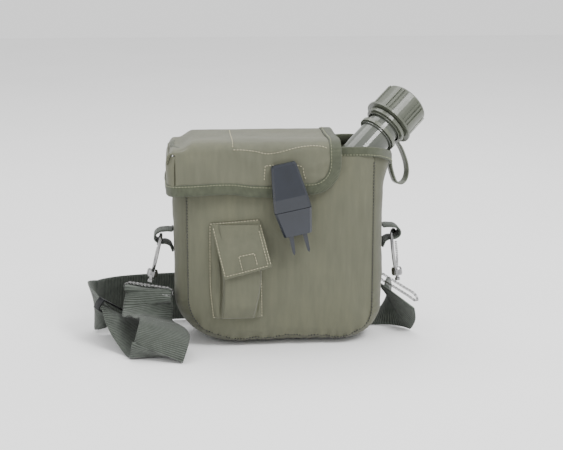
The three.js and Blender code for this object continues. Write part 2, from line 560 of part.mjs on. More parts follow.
function hardware(name, { side, turn, bail, across }) {
  const shift = side < 0 ? LOOP.left : LOOP.right;
  const bar = v(side * (LOOP.reach + shift), 0, LOOP.z);
  piece(canteen, `side_loop_${name}`, sideLoop(shift, side), MATERIAL.webbing);
  const hang = bail.clone().sub(bar).normalize();
  // The hook's own frame: +Z from its foot up to the loop, X across its opening.
  const foot = bail.clone().addScaledVector(hang, -HOOK.foot);
  const crown = foot.distanceTo(bar);
  const up = hang.clone().negate();
  const wide = v(0, 1, 0).addScaledVector(up, -up.y).normalize().applyAxisAngle(up, deg(turn));
  const group = new THREE.Group();
  group.position.copy(foot);
  group.quaternion.setFromRotationMatrix(new THREE.Matrix4().makeBasis(wide, up.clone().cross(wide), up));
  canteen.add(group);
  const h = HOOK.half;
  const hook = wire([v(-3.4, 0, 5), v(-h + 2, 0, 13), v(-h, 0, 20), v(-h, 0, crown - 6), v(-h + 3, 0, crown - 1.6), v(0, 0, crown),
    v(h - 3, 0, crown - 1.6), v(h, 0, crown - 6), v(h, 0, crown - 11)], HOOK.wire);
  const block = turned([[0, 0], [4.8, 0], [5.4, 1.5], [5.4, 6], [4.4, 8], [0, 8]], 16);
  const slot = box(1.2, 9, -1.9, 1.9, 4.4, 12);
  const socket = turned([[0, -1], [2, -1], [2, 3.4], [0, 3.4]], 12);
  piece(group, `snap_hook_${name}`, cut(join(hook, block), slot, socket), MATERIAL.steel);
  const gate = wire([v(3.2, 0, 5.6), v(h - 4, 0, 12), v(h - 0.6, 0, 18), v(h, 0, crown - 13.2)], 1.3);
  piece(group, `snap_gate_${name}`, gate, MATERIAL.steel);
  // The swivel post turns in the block and carries the strap's wire bail.
  const post = turned([[0, -5.2], [2.6, -5.2], [2.6, -2.6], [1.6, -2.2], [1.6, 2.8], [0, 2.8]], 12);
  piece(group, `swivel_post_${name}`, post, MATERIAL.steel);
  const w = WEBBING.width / 2 + 1.6;
  const on = (u, d) => bail.clone().addScaledVector(across, u).addScaledVector(hang, d);
  piece(canteen, `strap_bail_${name}`, wire([on(-w, 6.4), on(-w / 2, 6.4), on(0, 6.4), on(w / 2, 6.4), on(w, 6.4), on(w + 0.8, 3),
    on(w - 3, 0.2), on(w / 2, 0), on(0, 0), on(-w / 2, 0), on(3 - w, 0.2), on(-w - 0.8, 3)], 1.4, true), MATERIAL.steel);
}
hardware('left', SIDES.left);
hardware('right', SIDES.right);

// ---------------------------------------------------------------- the shoulder strap
// The strap's middle line from the left bail to the right one, and the way its width points.
const STRAP = [
  [v(-126.6, -15, 45.6), v(0.88, -0.47, 0)], [v(-127.8, -19.5, 39), v(0.93, -0.35, -0.06)],
  [v(-126, -27, 31.5), v(0.93, -0.05, -0.3)], [v(-120, -38, 29.5), v(0.8, 0.5, -0.3)],
  [v(-113, -50, 30.5), v(0.85, 0.3, -0.35)], [v(-111, -62, 28.5), v(0.93, 0, -0.36)],
  [v(-113, -72, 22), v(0.94, -0.15, -0.3)], [v(-116, -76, 13.5), v(0.93, -0.25, -0.25)],
  [v(-118, -74.5, 6.5), v(0.94, -0.3, -0.16)], [v(-119, -67, 2.8), v(0.94, -0.3, -0.03)],
  [v(-121, -57, 2.6), v(0.98, -0.05, 0)], [v(-126, -46, 4), v(0.94, 0.3, 0.05)],
  [v(-135, -33, 11), v(0.88, 0.45, 0.05)], [v(-147, -19, 21), v(0.82, 0.55, -0.1)],
  [v(-162, -4, 30), v(0.62, 0.5, -0.6)], [v(-178, 12, 31), v(0.25, 0.2, -0.95)],
  [v(-181, 29, 26.6), v(0, 0, -1)], [v(-167, 42, 25.9), v(0, 0, -1)],
  [v(-145, 50, 25.9), v(0, 0, -1)], [v(-104, 55, 25.9), v(0, 0, -1)],
  [v(-60, 56, 25.9), v(0, 0, -1)], [v(-10, 56, 25.7), v(0, -0.1, -1)],
  [v(30, 57, 24), v(0, -0.35, -0.93)], [v(56, 59, 19.5), v(0.05, -0.62, -0.78)],
  [v(76, 59, 11), v(0.1, -0.88, -0.42)], [v(96, 50, 4), v(0.15, -0.98, -0.08)],
  [v(112, 36, 5), v(0.35, -0.93, -0.06)], [v(122, 21, 12), v(0.45, -0.87, -0.18)],
  [v(125, 9, 24), v(0.5, -0.83, -0.22)], [v(121.5, 0, 37), v(0.54, -0.79, -0.24)],
];
const STRAP_STEPS = 150;
function strapFrames() {
  const line = new THREE.CatmullRomCurve3(STRAP.map((row) => row[0]), false, 'centripetal');
  const width = new THREE.CatmullRomCurve3(STRAP.map((row) => row[1]), false, 'centripetal');
  const frames = [];
  for (let i = 0; i <= STRAP_STEPS; i++) {
    const point = line.getPoint(i / STRAP_STEPS);
    const along = line.getTangent(i / STRAP_STEPS);
    const across = width.getPoint(i / STRAP_STEPS);
    across.addScaledVector(along, -across.dot(along)).normalize();
    const reach = (WEBBING.width / 2) * Math.abs(across.z);
    point.z = Math.max(point.z, reach + 1.4);
    frames.push([point, across, across.clone().cross(along).normalize()]);
  }
  return frames;
}
piece(canteen, 'shoulder_strap', band(strapFrames(), WEBBING.width, WEBBING.thickness), MATERIAL.webbing);

// The adjuster: a flat steel loop round the strap.
function strapAdjuster() {
  const [point, across, normal] = strapFrames()[Math.round(STRAP_STEPS * 0.48)];
  const along = across.clone().cross(normal).normalize();
  const [half, deep] = [WEBBING.width / 2 + 2.6, 5.2];
  const outline = [[half, 0], [half - 1, 1], [half - 6, 1], [0, 1], [6 - half, 1], [1 - half, 1], [-half, 0], [1 - half, -1], [6 - half, -1],
    [0, -1], [half - 6, -1], [half - 1, -1]];
  const frames = outline.map(([u, side]) => {
    const at = point.clone().addScaledVector(across, u).addScaledVector(normal, side * deep);
    const out = Math.abs(u) > half - 2 ? across.clone().multiplyScalar(Math.sign(u)) : normal.clone().multiplyScalar(side);
    return [at, along, side && Math.abs(u) > half - 2 ? out.addScaledVector(normal, side).normalize() : out];
  });
  return band(frames, 7, 1.6, true);
}
piece(canteen, 'strap_adjuster', strapAdjuster(), MATERIAL.blackSteel);

// ---------------------------------------------------------------- belt clips on the back
function beltClip(name, x) {
  const { bottom, top, width, steel, inner, outer } = CLIP;
  const half = width / 2;
  const strip = (rows) => loft([x - half, x + half].map((px) => rows.map(([y, z]) => v(px, y, z))));
  const frame = strip([[inner, bottom], [inner, top - 4], [inner + 3, top], [outer - 1.4, top], [outer + steel, top - 4], [outer + steel, bottom + 30],
    [outer, bottom + 30], [outer, top - 4 - 0.6], [outer - 2, top - steel], [inner + 3.6, top - steel], [inner + steel, top - 4.6], [inner + steel, bottom]]);
  piece(canteen, `belt_clip_${name}`, frame, MATERIAL.blackSteel);
  const y = outer + steel + GAP;
  const slide = strip([[y, bottom + 44], [y + steel, bottom + 44], [y + steel, bottom + 0.4], [y - 9, bottom + 0.4], [y - 9, bottom + 2], [y, bottom + 2]]);
  piece(canteen, `clip_slide_${name}`, slide, MATERIAL.blackSteel);
}
beltClip('left', -CLIP.x);
beltClip('right', CLIP.x);
function clipBand() {
  const y = CLIP.inner + CLIP.steel + GAP + WEBBING.thickness / 2;
  const rows = [[-79, y - 5.5], [-71, y - 3.6], [-60, y], [60, y], [71, y - 3.6], [79, y - 5.5]];
  return ribbon(rows.map(([x, at]) => v(x, at, 152)), rows.map(() => v(0, 1, 0)), 25, WEBBING.thickness);
}
piece(canteen, 'clip_band', clipBand(), MATERIAL.webbing);

export default canteen;
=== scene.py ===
"""A canteen in its cloth cover, with its buckle, pocket, belt clips and webbing strap."""
import math

import bmesh
import bpy
import numpy as np
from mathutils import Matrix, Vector


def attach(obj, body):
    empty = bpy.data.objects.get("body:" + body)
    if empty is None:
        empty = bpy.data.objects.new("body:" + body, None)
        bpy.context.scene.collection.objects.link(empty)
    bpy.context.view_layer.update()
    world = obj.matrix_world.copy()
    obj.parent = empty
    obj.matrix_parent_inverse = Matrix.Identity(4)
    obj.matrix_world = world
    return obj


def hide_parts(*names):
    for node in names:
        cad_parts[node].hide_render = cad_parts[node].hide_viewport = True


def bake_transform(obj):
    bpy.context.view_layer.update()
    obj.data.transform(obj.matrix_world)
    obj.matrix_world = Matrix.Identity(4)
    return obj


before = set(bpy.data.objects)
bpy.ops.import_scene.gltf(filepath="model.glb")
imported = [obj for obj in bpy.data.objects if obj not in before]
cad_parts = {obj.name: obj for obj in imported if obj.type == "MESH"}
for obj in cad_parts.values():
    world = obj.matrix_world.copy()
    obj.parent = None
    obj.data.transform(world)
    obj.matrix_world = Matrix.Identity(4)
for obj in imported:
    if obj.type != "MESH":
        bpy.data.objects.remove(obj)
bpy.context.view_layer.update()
MM = 0.001

# ------------------------------------------------------------------ driving sizes, in millimetres
SEAM = dict(left=-88.0, right=90.0, bottom=8.0, top=187.0, y=36.0, r_left=42.0, r_right=28.0)
CROWN = 7.6
SIDE_BULGE = 13.0
BOTTOM_BULGE = 7.6
FLAP = dict(left=-98.0, right=51.4, bottom=157.3, corner=24.0)
TAPE_WIDTH = 11.4
RIM = 190.9  # height of the mouth tape's middle line
STRAP_WIDTH = 50.0
STRAP_THICK = 1.7


# ------------------------------------------------------------------ curves and noise
def spline(points, count, closed=False):
    """Evenly spread samples of a centripetal Catmull-Rom curve through rows of numbers."""
    rows = np.array(points, float)
    if closed:
        rows = np.vstack([rows[-1], rows, rows[0], rows[1]])
    else:
        rows = np.vstack([2 * rows[0] - rows[1], rows, 2 * rows[-1] - rows[-2]])
    fine = []
    for i in range(1, len(rows) - 2):
        p = rows[i - 1 : i + 3]
        gaps = np.maximum(np.sqrt(np.linalg.norm(np.diff(p[:, :3], axis=0), axis=1)), 1e-6)
        t = np.concatenate([[0], np.cumsum(gaps)])
        u = np.linspace(t[1], t[2], 24, endpoint=False)[:, None]
        a = [((t[k + 1] - u) * p[k] + (u - t[k]) * p[k + 1]) / (t[k + 1] - t[k]) for k in range(3)]
        b = [((t[k + 2] - u) * a[k] + (u - t[k]) * a[k + 1]) / (t[k + 2] - t[k]) for k in range(2)]
        fine.append(((t[2] - u) * b[0] + (u - t[1]) * b[1]) / (t[2] - t[1]))
    fine.append(rows[-2][None])
    fine = np.vstack(fine)
    length = np.concatenate([[0], np.cumsum(np.linalg.norm(np.diff(fine[:, :3], axis=0), axis=1))])
    at = np.linspace(0, length[-1], count, endpoint=not closed)
    return np.stack([np.interp(at, length, fine[:, k]) for k in range(fine.shape[1])], axis=1)


def ripple(a, b, seed, scale, terms=7):
    """Smooth noise between about -1 and 1 over two arrays of coordinates."""
    rng = np.random.default_rng(seed)
    total = 0
    for _ in range(terms):
        angle, phase = rng.uniform(0, 2 * math.pi, 2)
        k = 2 * math.pi / (scale * rng.uniform(0.6, 1.8))
        total = total + np.sin(k * (a * math.cos(angle) + b * math.sin(angle)) + phase)
    return total / math.sqrt(terms * 2)


def smooth(t):
    t = np.clip(t, 0, 1)
    return t * t * (3 - 2 * t)


def crease(x, z, start, end, width, height):
    """A ridge of cloth (a valley if height is negative) that runs from start to end and fades out."""
    start, end = np.array(start, float), np.array(end, float)
    run = end - start
    length = np.hypot(*run)
    t = ((x - start[0]) * run[0] + (z - start[1]) * run[1]) / length**2
    off = ((x - start[0]) * run[1] - (z - start[1]) * run[0]) / length
    return height * np.exp(-((off / width) ** 2)) * smooth((t + 0.15) / 0.4) * smooth((1.15 - t) / 0.4)


# ------------------------------------------------------------------ mesh helpers
def make(name, verts, faces, material, body="cover", uv=None, shade=True):
    """A mesh piece from points in millimetres."""
    mesh = bpy.data.meshes.new(name)
    mesh.from_pydata([tuple(p) for p in np.asarray(verts) * MM], [], [tuple(f) for f in faces])
    if uv is not None:
        layer = mesh.uv_layers.new(name="uv")
        index = np.empty(len(mesh.loops), int)
        mesh.loops.foreach_get("vertex_index", index)
        layer.data.foreach_set("uv", (np.asarray(uv)[index] * MM).ravel())
    mesh.materials.append(material)
    mesh.update()
    obj = bpy.data.objects.new(name, mesh)
    bpy.context.collection.objects.link(obj)
    if shade:
        mesh.shade_smooth()
    if body:
        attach(obj, body)
    return obj


def grid(name, points, material, body="cover", closed=(False, False), flip=False, slack_uv=None):
    """A sheet through an array of points (rows, columns, 3), with UVs in lengths along it."""
    rows, columns = points.shape[:2]
    flat = points.reshape(-1, 3)
    faces = []
    for i in range(rows if closed[0] else rows - 1):
        for j in range(columns if closed[1] else columns - 1):
            k, m = (i + 1) % rows, (j + 1) % columns
            quad = (i * columns + j, i * columns + m, k * columns + m, k * columns + j)
            faces.append(quad[::-1] if flip else quad)
    if slack_uv is None:
        along = np.linalg.norm(np.diff(points, axis=0), axis=2).mean(axis=1)
        across = np.linalg.norm(np.diff(points, axis=1), axis=2).mean(axis=0)
        u = np.concatenate([[0], np.cumsum(along)])
        v = np.concatenate([[0], np.cumsum(across)])
        slack_uv = np.stack(np.meshgrid(u, v, indexing="ij"), axis=-1)
    return make(name, flat, faces, material, body, slack_uv.reshape(-1, 2))


def thicken(obj, thickness, offset=-1.0, bevel=0.0):
    solid = obj.modifiers.new("thickness", "SOLIDIFY")
    solid.thickness = thickness * MM
    solid.offset = offset
    if bevel:
        edge = obj.modifiers.new("edge", "BEVEL")
        edge.width = bevel * MM
        edge.segments = 2
        edge.limit_method = "ANGLE"
    return obj


def sweep(name, path, across, normal, section, material, body="cover", closed=False):
    """A closed section [(across, out), ...] swept along a path with unit vectors across and normal."""
    section = np.array(section, float)
    shape = path[:, None] + across[:, None] * section[None, :, :1] + normal[:, None] * section[None, :, 1:]
    count = len(section)
    around = np.concatenate([[0], np.cumsum(np.linalg.norm(np.diff(section, axis=0), axis=1))])
    run = np.concatenate([[0], np.cumsum(np.linalg.norm(np.diff(path, axis=0), axis=1))])
    uv = np.stack(np.meshgrid(run, around, indexing="ij"), axis=-1)
    obj = grid(name, shape, material, body, closed=(closed, True), slack_uv=uv)
    if not closed:
        mesh = obj.data
        faces = [tuple(p.vertices) for p in mesh.polygons]
        ends = [tuple(range(count))[::-1], tuple(range(len(path) * count - count, len(path) * count))]
        bpy.data.objects.remove(obj)
        obj = make(name, shape.reshape(-1, 3), faces + ends, material, body, uv.reshape(-1, 2))
    return face_outwards(obj)


def face_outwards(obj):
    mesh = bmesh.new()
    mesh.from_mesh(obj.data)
    bmesh.ops.recalc_face_normals(mesh, faces=mesh.faces)
    mesh.to_mesh(obj.data)
    mesh.free()
    return obj


def rounded_strip(width, thickness, crown=0.0):
    """The section of a strip of webbing or tape, with soft edges."""
    w, t = width / 2, thickness / 2
    top = [(u * w, t + crown * (1 - u * u)) for u in (-0.9, -0.5, 0, 0.5, 0.9)]
    return [
        (-w, -t * 0.4), (-w, t * 0.4), *top, (w, t * 0.4), (w, -t * 0.4),
        (w * 0.9, -t), (0, -t), (-w * 0.9, -t),
    ]


def frames(path, normal):
    """Unit vectors across and normal along a path, from rough normals."""
    along = np.gradient(path, axis=0)
    across = np.cross(along, normal)
    across /= np.linalg.norm(across, axis=1)[:, None]
    out = np.cross(across, along)
    out /= np.linalg.norm(out, axis=1)[:, None]
    return across, out


# A stitch's rings: share of its length, share of its radius, and lift in radii.
STITCH_RINGS = ((0, 0.35, -0.2), (0.2, 0.9, 0.12), (0.5, 1, 0.24), (0.8, 0.9, 0.12), (1, 0.35, -0.2))


def stitches(name, path, normal, material, body="cover", pitch=2.9, share=0.72, radius=0.4):
    """A row of short raised threads along a path on a surface."""
    path = np.asarray(path, float)
    length = np.concatenate([[0], np.cumsum(np.linalg.norm(np.diff(path, axis=0), axis=1))])
    rng = np.random.default_rng(len(name) * 7 + 3)
    normal = np.broadcast_to(np.asarray(normal, float), path.shape)
    verts, faces = [], []
    for k in range(int(length[-1] / pitch)):
        half = pitch * share * rng.uniform(0.42, 0.52)
        middle = (k + 0.5) * pitch
        ends = [
            np.array([np.interp(middle + d, length, path[:, c]) for c in range(3)])
            for d in (-half, half)
        ]
        out = np.array([np.interp(middle, length, normal[:, c]) for c in range(3)])
        out /= np.linalg.norm(out)
        along = (ends[1] - ends[0]) / np.linalg.norm(ends[1] - ends[0])
        side = np.cross(along, out)
        start = len(verts)
        for t, size, lift in STITCH_RINGS:
            centre = ends[0] * (1 - t) + ends[1] * t + out * lift
            for a in range(5):
                angle = 2 * math.pi * a / 5
                verts.append(centre + radius * size * (side * math.cos(angle) + out * math.sin(angle)))
        for r in range(4):
            for a in range(5):
                b = (a + 1) % 5
                corner = start + r * 5
                faces.append((corner + a, corner + b, corner + 5 + b, corner + 5 + a))
        faces.append(tuple(range(start + 4, start - 1, -1)))
        faces.append(tuple(range(start + 20, start + 25)))
    return make(name, verts, faces, material, body)


# ------------------------------------------------------------------ materials
class Shader:
    """A small helper for building one material's nodes."""

    def __init__(self, name, color, roughness, **sockets):
        self.material = bpy.data.materials.new(name)
        self.material.use_nodes = True
        self.tree = self.material.node_tree
        self.bsdf = self.tree.nodes["Principled BSDF"]
        self.bsdf.inputs["Base Color"].default_value = (*color, 1)
        self.bsdf.inputs["Roughness"].default_value = roughness
        for key, value in sockets.items():
            self.bsdf.inputs[key.replace("_", " ")].default_value = value
        self.coords = self.tree.nodes.new("ShaderNodeTexCoord")

    def node(self, kind, links=None, **values):
        made = self.tree.nodes.new(kind)
        for key, value in values.items():
            setattr(made, key, value)
        for socket, source in (links or {}).items():
            if isinstance(source, bpy.types.NodeSocket):
                self.tree.links.new(source, made.inputs[socket])
            else:
                made.inputs[socket].default_value = source
        return made

    def noise(self, scale, detail=3.0, space="Object", roughness=0.55, stretch=None):
        source = self.coords.outputs[space]
        if stretch:
            source = self.node("ShaderNodeMapping", {"Vector": source, "Scale": stretch}).outputs[0]
        links = {"Vector": source, "Scale": scale, "Detail": detail, "Roughness": roughness}
        return self.node("ShaderNodeTexNoise", links).outputs["Fac"]

    def bands(self, scale, axis, space="Object", profile="SIN", distortion=0.0):
        links = {
            "Vector": self.coords.outputs[space], "Scale": scale, "Distortion": distortion, "Detail": 1.0,
        }
        made = self.node("ShaderNodeTexWave", links, bands_direction=axis, wave_profile=profile)
        return made.outputs["Fac"]

    def math(self, operation, a, b=0.5, c=0.0):
        return self.node("ShaderNodeMath", {0: a, 1: b, 2: c}, operation=operation).outputs[0]

    def ramp(self, fac, stops):
        made = self.node("ShaderNodeValToRGB", {"Fac": fac})
        ramp = made.color_ramp
        while len(ramp.elements) < len(stops):
            ramp.elements.new(0.5)
        for element, (at, color) in zip(ramp.elements, stops):
            element.position = at
            element.color = (*color, 1)
        return made.outputs["Color"]

    def link(self, socket, source):
        self.tree.links.new(source, self.bsdf.inputs[socket])

    def range(self, fac, low, high):
        return self.node("ShaderNodeMapRange", {"Value": fac, "To Min": low, "To Max": high}).outputs[0]

    def bump(self, *layers):
        """Bumps stacked as (height, strength, distance in metres)."""
        normal = None
        for height, strength, distance in layers:
            links = {"Height": height, "Strength": strength, "Distance": distance}
            if normal:
                links["Normal"] = normal
            normal = self.node("ShaderNodeBump", links).outputs["Normal"]
        self.link("Normal", normal)


def shade(color, factor):
    return tuple(c * factor for c in color)


def cloth_material(name, color, warm=1.0):
    s = Shader(name, color, 0.72, Sheen_Weight=0.12, Sheen_Roughness=0.5, Specular_IOR_Level=0.35)
    broad = s.noise(14, 4)
    streak = s.noise(60, 3, stretch=(3.2, 3.2, 0.5))
    mixed = s.math("MULTIPLY_ADD", streak, 0.45, s.math("MULTIPLY", broad, 0.55))
    dusty = (color[0] * 1.22 * warm, color[1] * 1.2, color[2] * 1.16)
    s.link("Base Color", s.ramp(mixed, [(0.3, shade(color, 0.84)), (0.5, color), (0.72, dusty)]))
    s.link("Roughness", s.range(broad, 0.62, 0.86))
    weave = s.math("ADD", s.bands(430, "X"), s.math("ADD", s.bands(430, "Z"), s.bands(430, "Y")))
    s.bump(
        (weave, 0.18, 0.0002), (s.noise(900, 2), 0.18, 0.0002),
        (s.noise(42, 3), 0.35, 0.0012), (s.noise(13, 2), 0.35, 0.003),
    )
    return s.material


def ribbed_material(name, color, pitch, dark=0.45):
    """Webbing or tape, with ribs across its length, which runs along U; its colour mixes a random mottle with
    painted shade in the rib grooves and painted highlight on the rib crests.
    """
    s = Shader(name, color, 0.7, Sheen_Weight=0.15, Sheen_Roughness=0.45, Specular_IOR_Level=0.4)
    ribs = s.bands(math.pi / (pitch * MM) / 10, "X", "UV")
    warp = s.bands(math.pi / (0.9 * MM) / 10, "Y", "UV")
    mottle = s.noise(150, 4)
    # colour from a random mottle and the ribs: painted shade in the grooves, painted highlight on the crests
    mottle_and_rib_shade = s.math("MULTIPLY_ADD", mottle, 0.5, s.math("MULTIPLY", ribs, 0.5))
    s.link("Base Color", s.ramp(mottle_and_rib_shade, [(0.22, shade(color, dark)), (0.5, color), (0.8, shade(color, 1.5))]))
    s.bump((ribs, 0.9, 0.0005), (warp, 0.35, 0.0003), (s.noise(700, 2), 0.25, 0.0003))
    return s.material


def plastic_material(name, color, roughness, wear=0.1, bump=0.06):
    s = Shader(name, color, roughness, Specular_IOR_Level=0.5)
    broad = s.noise(35, 4)
    s.link("Base Color", s.ramp(broad, [(0.3, shade(color, 1 - wear)), (0.7, shade(color, 1 + wear))]))
    s.link("Roughness", s.range(s.noise(120, 3), roughness * 0.75, min(roughness * 1.35, 1)))
    s.bump((s.noise(90, 3), bump, 0.0008), (s.noise(1500, 2), bump, 0.0001))
    return s.material


def metal_material(name, color, bright, roughness):
    s = Shader(name, color, roughness, Metallic=1.0)
    worn = s.noise(60, 2)
    s.link("Base Color", s.ramp(worn, [(0.35, color), (0.7, bright)]))
    s.link("Roughness", s.range(s.noise(180, 3), roughness * 0.7, roughness * 1.4))
    s.bump((s.noise(500, 2), 0.05, 0.0002))
    return s.material


def thread_material(name, color):
    s = Shader(name, color, 0.7, Sheen_Weight=0.2)
    twist = s.noise(2400, 1, stretch=(1, 1, 0.4))
    s.link("Base Color", s.ramp(twist, [(0.3, shade(color, 0.6)), (0.65, shade(color, 1.15))]))
    s.bump((twist, 0.4, 0.0002))
    return s.material


CLOTH = cloth_material("olive_nylon", (0.094, 0.096, 0.064))
# the side and bottom band's cloth: the same nylon with a darker colour, painted shade for the faces turned
# away from the lamps
SHADED_SIDE_CLOTH = cloth_material("olive_nylon_side_painted_shade", (0.074, 0.076, 0.049))
# the flap's cloth: the same nylon with a slightly lighter colour, painted light for the top, which faces the
# lamps
LIT_FLAP_CLOTH = cloth_material("olive_nylon_flap_painted_light", (0.098, 0.100, 0.068))
TAPE = ribbed_material("binding_tape", (0.062, 0.070, 0.043), 1.1, 0.6)
WEBBING = ribbed_material("olive_webbing", (0.058, 0.068, 0.056), 1.7, 0.4)
THREAD = thread_material("tan_thread", (0.42, 0.39, 0.26))
DARK_THREAD = thread_material("dark_thread", (0.008, 0.008, 0.006))
PALE_THREAD = thread_material("olive_thread", (0.24, 0.25, 0.15))
CAP = plastic_material("cap_plastic", (0.082, 0.090, 0.068), 0.3, 0.12, 0.1)
VINYL = plastic_material("neck_vinyl", (0.085, 0.092, 0.078), 0.13, 0.1, 0.12)
TETHER = plastic_material("tether_plastic", (0.098, 0.107, 0.082), 0.24, 0.1, 0.1)
RUBBER = plastic_material("seal_rubber", (0.02, 0.02, 0.02), 0.6, 0.1, 0.2)
BUCKLE = plastic_material("black_acetal", (0.012, 0.015, 0.022), 0.2, 0.15, 0.04)
STEEL = metal_material("worn_steel", (0.20, 0.20, 0.205), (0.40, 0.395, 0.39), 0.2)
BLACK_STEEL = metal_material("black_paint_steel", (0.025, 0.026, 0.028), (0.09, 0.09, 0.09), 0.42)


def dress(node, material, bevel=0.0, levels=0):
    """A CAD node that stays: its material, and softer edges."""
    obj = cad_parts[node]
    obj.data.materials.clear()
    obj.data.materials.append(material)
    if bevel:
        edge = obj.modifiers.new("edge", "BEVEL")
        edge.width = bevel * MM
        edge.segments = 3
        edge.limit_method = "ANGLE"
        edge.angle_limit = math.radians(30)
    if levels:
        round_off = obj.modifiers.new("round", "SUBSURF")
        round_off.levels = round_off.render_levels = levels
    obj.data.shade_smooth()
    if not levels:
        weight = obj.modifiers.new("normals", "WEIGHTED_NORMAL")
        weight.keep_sharp = True
    return obj


# ------------------------------------------------------------------ the cover's panels
def seam_wave(x, z):
    """How far the puckered bottom seam rises and falls."""
    return (1.5 + 1.3 * np.sin(x * 0.07 + 0.6) + 0.9 * np.sin(x * 0.19)) * smooth((26 - z) / 18)


def seam_outline(count):
    """Points evenly spread round the big panels' seam, from the lower left corner round."""
    s = SEAM
    top = s["top"]
    rows = []
    corners = (
        (s["left"], s["bottom"], s["r_left"], 180),
        (s["right"], s["bottom"], s["r_right"], 270),
        (s["right"], top, 5.0, 0),
        (s["left"], top, 5.0, 90),
    )
    for x, z, r, start in corners:
        cx = x + (r if x < 0 else -r)
        cz = z + (r if z < 95 else -r)
        for a in np.radians(np.linspace(start, start + 90, 24)):
            rows.append((cx + r * math.cos(a), cz + r * math.sin(a)))
    rows = np.array(rows + rows[:1])
    length = np.concatenate([[0], np.cumsum(np.hypot(*np.diff(rows, axis=0).T))])
    at = np.linspace(0, length[-1], count, endpoint=False)
    x, z = (np.interp(at, length, rows[:, k]) for k in (0, 1))
    return np.stack([x, z + seam_wave(x, z)], axis=1)


def inside(x, z):
    """How far a point of the panel is from its seam."""
    s = SEAM
    dx = np.minimum(x - s["left"], s["right"] - x)
    dz = np.minimum(z - s["bottom"], s["top"] + 14 - z)
    near = np.minimum(dx, dz)
    lower_corners = (
        (s["left"] + s["r_left"], -1, s["r_left"]),
        (s["right"] - s["r_right"], 1, s["r_right"]),
    )
    for cx, side, r in lower_corners:
        cz = s["bottom"] + r
        corner = ((x - cx) * side > 0) & (z < cz)
        near = np.where(corner, np.minimum(near, r - np.hypot(x - cx, z - cz)), near)
    return np.maximum(near, 0)


FRONT_CREASES = (
    ((58, 150), (84, 96), 7, 0.9),
    ((40, 118), (70, 40), 9, 0.7),
    ((76, 160), (84, 120), 4, 0.8),
    ((-20, 22), (60, 16), 5, 0.7),
    ((-74, 70), (-60, 32), 6, 0.8),
    ((-80, 150), (-74, 60), 6, 0.7),
    ((6, 60), (30, 12), 6, 0.6),
    ((-40, 18), (-10, 14), 4, 0.9),
    ((20, 100), (60, 96), 10, -0.6),
    ((70, 40), (84, 26), 4, 0.8),
)


def front_y(x, z):
    """Depth of the front panel's face."""
    x, z = np.asarray(x, float), np.asarray(z, float)
    t = np.clip(inside(x, z) / 52, 0, 1)
    y = SEAM["y"] + CROWN * (1 - (1 - t) ** 2.3)
    y = y + (0.75 * ripple(x, z, 4, 95) + 0.3 * ripple(x, z, 9, 34)) * smooth(t * 3)
    for start, end, width, height in FRONT_CREASES:
        y = y + crease(x, z, start, end, width, height) * smooth(t * 5)
    pucker = np.exp(-((inside(x, z) / 7) ** 2)) * smooth((60 - z) / 40)
    return -(y + 0.9 * pucker * np.sin(x * 0.55 + 2 * np.sin(x * 0.11)))


def back_y(x, z):
    t = np.clip(inside(x, z) / 52, 0, 1)
    y = SEAM["y"] + CROWN * (1 - (1 - t) ** 2.3) + 0.7 * ripple(x, z, 21, 90) * smooth(t * 3)
    return y + 0.6 * crease(x, z, (-60, 110), (50, 112), 6, 1.0)


def big_panel(name, depth, node, flip):
    rings = [np.linspace(0.02, 0.84, 26), 1 - 0.16 * np.linspace(1, 0, 14) ** 1.5]
    shares = np.concatenate(rings)[:, None, None]
    outline = seam_outline(260)
    centre = np.array([0.0, 95.0])
    flat = centre + (outline - centre)[None] * np.unique(shares)[:, None, None]
    x, z = flat[..., 0], flat[..., 1]
    points = np.stack([x, depth(x, z), z], axis=-1)
    uv = np.stack([x, z], axis=-1)
    obj = grid(name, points, CLOTH, closed=(False, True), flip=flip, slack_uv=uv)
    mesh = obj.data
    faces = [tuple(p.vertices) for p in mesh.polygons]
    hub = tuple(range(260))
    faces.append(hub if flip else hub[::-1])
    bpy.data.objects.remove(obj)
    obj = make(name, points.reshape(-1, 3), faces, CLOTH, "cover", uv.reshape(-1, 2))
    thicken(obj, 1.5)
    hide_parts(node)
    return obj


def mouth_right(w):
    """The mouth's line at the right, from the front seam (w 0) to the back seam (w 1)."""
    rows = [
        (90, -35.8, RIM - 1), (104, -25, RIM - 6), (109.5, -6, RIM - 13),
        (108.5, 14, RIM - 15), (103, 28, RIM - 9), (89, 36, RIM - 1),
    ]
    line = spline(rows, 200)
    return np.stack([np.interp(w, np.linspace(0, 1, 200), line[:, k]) for k in range(3)], axis=-1)


def mouth_left(w):
    rows = [(-87, -35.5, RIM), (-97, -21, RIM), (-100, 0, RIM), (-97, 21, RIM), (-87, 35.5, RIM)]
    line = spline(rows, 200)
    return np.stack([np.interp(w, np.linspace(0, 1, 200), line[:, k]) for k in range(3)], axis=-1)


